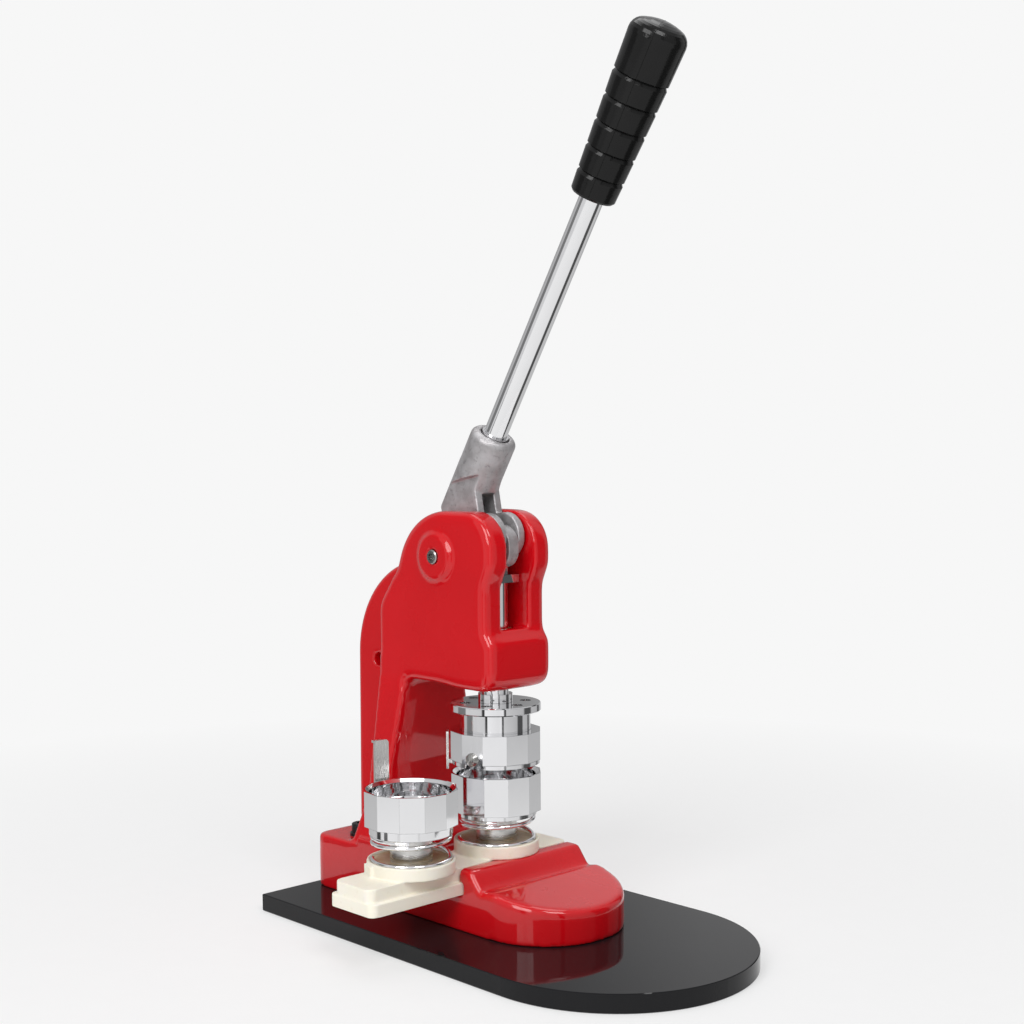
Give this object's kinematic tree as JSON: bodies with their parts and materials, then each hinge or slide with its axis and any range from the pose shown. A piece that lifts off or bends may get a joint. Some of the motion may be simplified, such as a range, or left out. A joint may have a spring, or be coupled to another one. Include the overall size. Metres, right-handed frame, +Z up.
{
  "type": "lever button-making press",
  "caption": "Hand lever press with a C-shaped cast body, a guided ram with an upper die, and a sliding holder that brings spring-loaded lower dies under it in turn.",
  "frame": {"origin": "on the ram axis, in the plane of the board's underside", "axes": "+Z up along the ram axis; -Y towards the rounded front of the board and the user; +X to the user's right, the direction in which the die slider travels"},
  "size_m": [0.1838, 0.28, 0.4776],
  "materials": {
    "black_acrylic": "polished black acrylic sheet",
    "red_paint": "gloss red enamel on cast iron",
    "black_steel": "black oxide fastener",
    "steel": "plain turned steel",
    "bronze": "sintered bronze",
    "raw_cast": "raw tumbled die casting",
    "chrome": "bright plated",
    "grip_black": "moulded, semi-gloss",
    "cream_plastic": "moulded, satin",
    "brushed": "linear brushed",
    "turned_aluminium": "turned"
  },
  "bodies": {
    "frame": {"base_board": "black_acrylic", "body_casting": "red_paint", "rear_bolts": "black_steel", "rear_washers": "black_steel", "rear_nuts": "steel", "toe_screws": "black_steel", "pivot_pin": "steel", "ram_bush": "bronze"},
    "lever": {"handle_fork": "raw_cast", "fork_bush": "bronze", "crank_pin": "steel", "handle_rod": "chrome", "handle_grip": "grip_black"},
    "link": {"link": "raw_cast", "ram_pin": "steel"},
    "ram": {"ram_shaft": "chrome", "upper_plate": "chrome", "plate_screws": "steel", "ram_screw": "black_steel", "upper_core": "chrome"},
    "upper_ring": {"upper_die_ring": "chrome", "ring_screw": "steel"},
    "selector": {"selector_ring": "chrome", "selector_tab": "brushed"},
    "slider": {"die_slider": "cream_plastic", "slider_stop_screws": "black_steel", "die_post_a": "turned_aluminium", "die_post_b": "turned_aluminium", "die_core_a": "chrome", "die_core_b": "chrome", "core_screws": "steel", "die_spring_a": "chrome", "die_spring_b": "chrome"},
    "die_a": {"die_ring_a": "chrome", "trip_strip": "brushed", "strip_screws": "steel"},
    "die_b": {"die_ring_b": "chrome"}
  },
  "joints": [
    {"name": "lever_turn", "type": "hinge", "parent": "frame", "child": "lever", "pos_m": [0, 0.0223, 0.2093], "axis": [1, 0, 0], "range_deg": [0, 50]},
    {"name": "link_swing", "type": "hinge", "parent": "lever", "child": "link", "pos_m": [0, -0.00202, 0.22061], "axis": [1, 0, 0], "range_deg": [-50, 0]},
    {"name": "ram_slide", "type": "slide", "parent": "frame", "child": "ram", "axis": [0, 0, 1], "range_m": [-0.02267, 0]},
    {"name": "upper_ring_slide", "type": "slide", "parent": "ram", "child": "upper_ring", "axis": [0, 0, 1], "range_m": [0, 0.0105]},
    {"name": "selector_turn", "type": "hinge", "parent": "upper_ring", "child": "selector", "pos_m": [0, 0, 0.095], "axis": [0, 0, 1], "range_deg": [0, 25]},
    {"name": "slider_slide", "type": "slide", "parent": "frame", "child": "slider", "axis": [1, 0, 0], "range_m": [0, 0.063]},
    {"name": "die_a_sink", "type": "slide", "parent": "slider", "child": "die_a", "axis": [0, 0, 1], "range_m": [-0.0073, 0], "deforming": ["die_spring_a"]},
    {"name": "die_b_sink", "type": "slide", "parent": "slider", "child": "die_b", "axis": [0, 0, 1], "range_m": [-0.0073, 0], "deforming": ["die_spring_b"]}
  ],
  "couplings": [
    {"joint": "link_swing", "follows": "lever_turn", "ratio": -1},
    {"joint": "ram_slide", "follows": "lever_turn", "m_per_rad": -0.025977},
    {"joint": "upper_ring_slide", "follows": "lever_turn", "m_per_rad": 0.012032},
    {"joint": "die_a_sink", "follows": "lever_turn", "m_per_rad": -0.008365},
    {"joint": "die_b_sink", "follows": "lever_turn", "m_per_rad": -0.008365}
  ]
}
